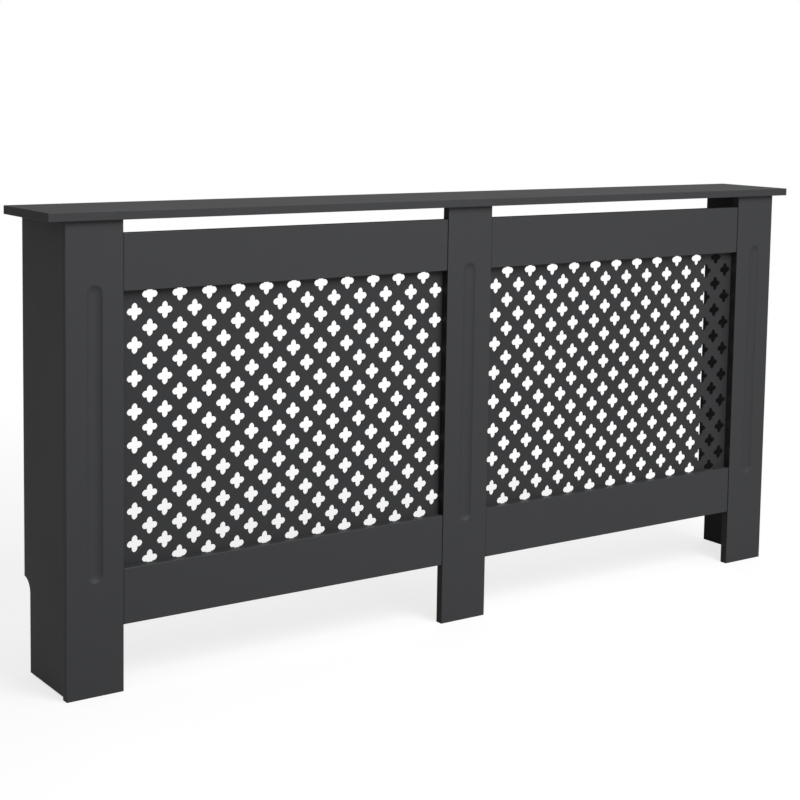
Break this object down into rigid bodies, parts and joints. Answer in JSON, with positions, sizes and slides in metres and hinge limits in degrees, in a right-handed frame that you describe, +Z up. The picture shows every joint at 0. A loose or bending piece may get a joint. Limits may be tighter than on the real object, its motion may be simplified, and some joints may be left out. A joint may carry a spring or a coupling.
{
  "type": "radiator cover cabinet",
  "caption": "Flat-pack radiator cover: shelf on fluted front legs and side panels, grille sheets pierced with four-lobed holes between rails, open at the back.",
  "frame": {"origin": "on the floor under the middle of the shelf, which is the bottom centre of the whole part's box", "axes": "+Z up, +X to the right as seen from the front, -Y out of the front and +Y towards the wall"},
  "size_m": [1.72, 0.19, 0.82],
  "materials": {
    "painted_board": "smooth satin paint on fibreboard",
    "painted_sheet": "smooth satin paint on thin pierced fibreboard",
    "softwood": "painted softwood",
    "beech_dowel": "bare turned beech",
    "zinc_casting": "dull die-cast zinc",
    "zinc_plated_steel": "bright zinc plate",
    "bracket_steel": "zinc-plated pressed steel"
  },
  "bodies": {
    "cabinet": {"batten_screws": "zinc_plated_steel", "centre_batten": "softwood", "centre_leg": "painted_board", "corner_dowels": "beech_dowel", "left_bottom_rail": "painted_board", "left_cam_bolts": "zinc_plated_steel", "left_grille": "painted_sheet", "left_grille_screws": "zinc_plated_steel", "left_leg": "painted_board", "left_side_panel": "painted_board", "left_top_rail": "painted_board", "left_wall_bracket": "bracket_steel", "left_wall_bracket_screws": "zinc_plated_steel", "rail_dowels": "beech_dowel", "right_bottom_rail": "painted_board", "right_cam_bolts": "zinc_plated_steel", "right_grille": "painted_sheet", "right_grille_screws": "zinc_plated_steel", "right_leg": "painted_board", "right_side_panel": "painted_board", "right_top_rail": "painted_board", "right_wall_bracket": "bracket_steel", "right_wall_bracket_screws": "zinc_plated_steel", "shelf_bracket": "bracket_steel", "shelf_bracket_screws": "zinc_plated_steel", "shelf_dowels": "beech_dowel", "top_shelf": "painted_board"},
    "left_lower_corner_cam": {"left_lower_corner_cam": "zinc_casting"},
    "left_shelf_cam": {"left_shelf_cam": "zinc_casting"},
    "left_upper_corner_cam": {"left_upper_corner_cam": "zinc_casting"},
    "right_lower_corner_cam": {"right_lower_corner_cam": "zinc_casting"},
    "right_shelf_cam": {"right_shelf_cam": "zinc_casting"},
    "right_upper_corner_cam": {"right_upper_corner_cam": "zinc_casting"}
  },
  "joints": [
    {"name": "left_lower_corner_cam_turn", "type": "hinge", "parent": "cabinet", "child": "left_lower_corner_cam", "pos_m": [-0.812, -0.035, 0.24], "axis": [1, 0, 0], "range_deg": [0, 180]},
    {"name": "left_shelf_cam_turn", "type": "hinge", "parent": "cabinet", "child": "left_shelf_cam", "pos_m": [-0.812, -0.03, 0.771], "axis": [1, 0, 0], "range_deg": [0, 180]},
    {"name": "left_upper_corner_cam_turn", "type": "hinge", "parent": "cabinet", "child": "left_upper_corner_cam", "pos_m": [-0.812, -0.035, 0.64], "axis": [1, 0, 0], "range_deg": [0, 180]},
    {"name": "right_lower_corner_cam_turn", "type": "hinge", "parent": "cabinet", "child": "right_lower_corner_cam", "pos_m": [0.812, -0.035, 0.24], "axis": [-1, 0, 0], "range_deg": [0, 180]},
    {"name": "right_shelf_cam_turn", "type": "hinge", "parent": "cabinet", "child": "right_shelf_cam", "pos_m": [0.812, -0.03, 0.771], "axis": [-1, 0, 0], "range_deg": [0, 180]},
    {"name": "right_upper_corner_cam_turn", "type": "hinge", "parent": "cabinet", "child": "right_upper_corner_cam", "pos_m": [0.812, -0.035, 0.64], "axis": [-1, 0, 0], "range_deg": [0, 180]}
  ]
}
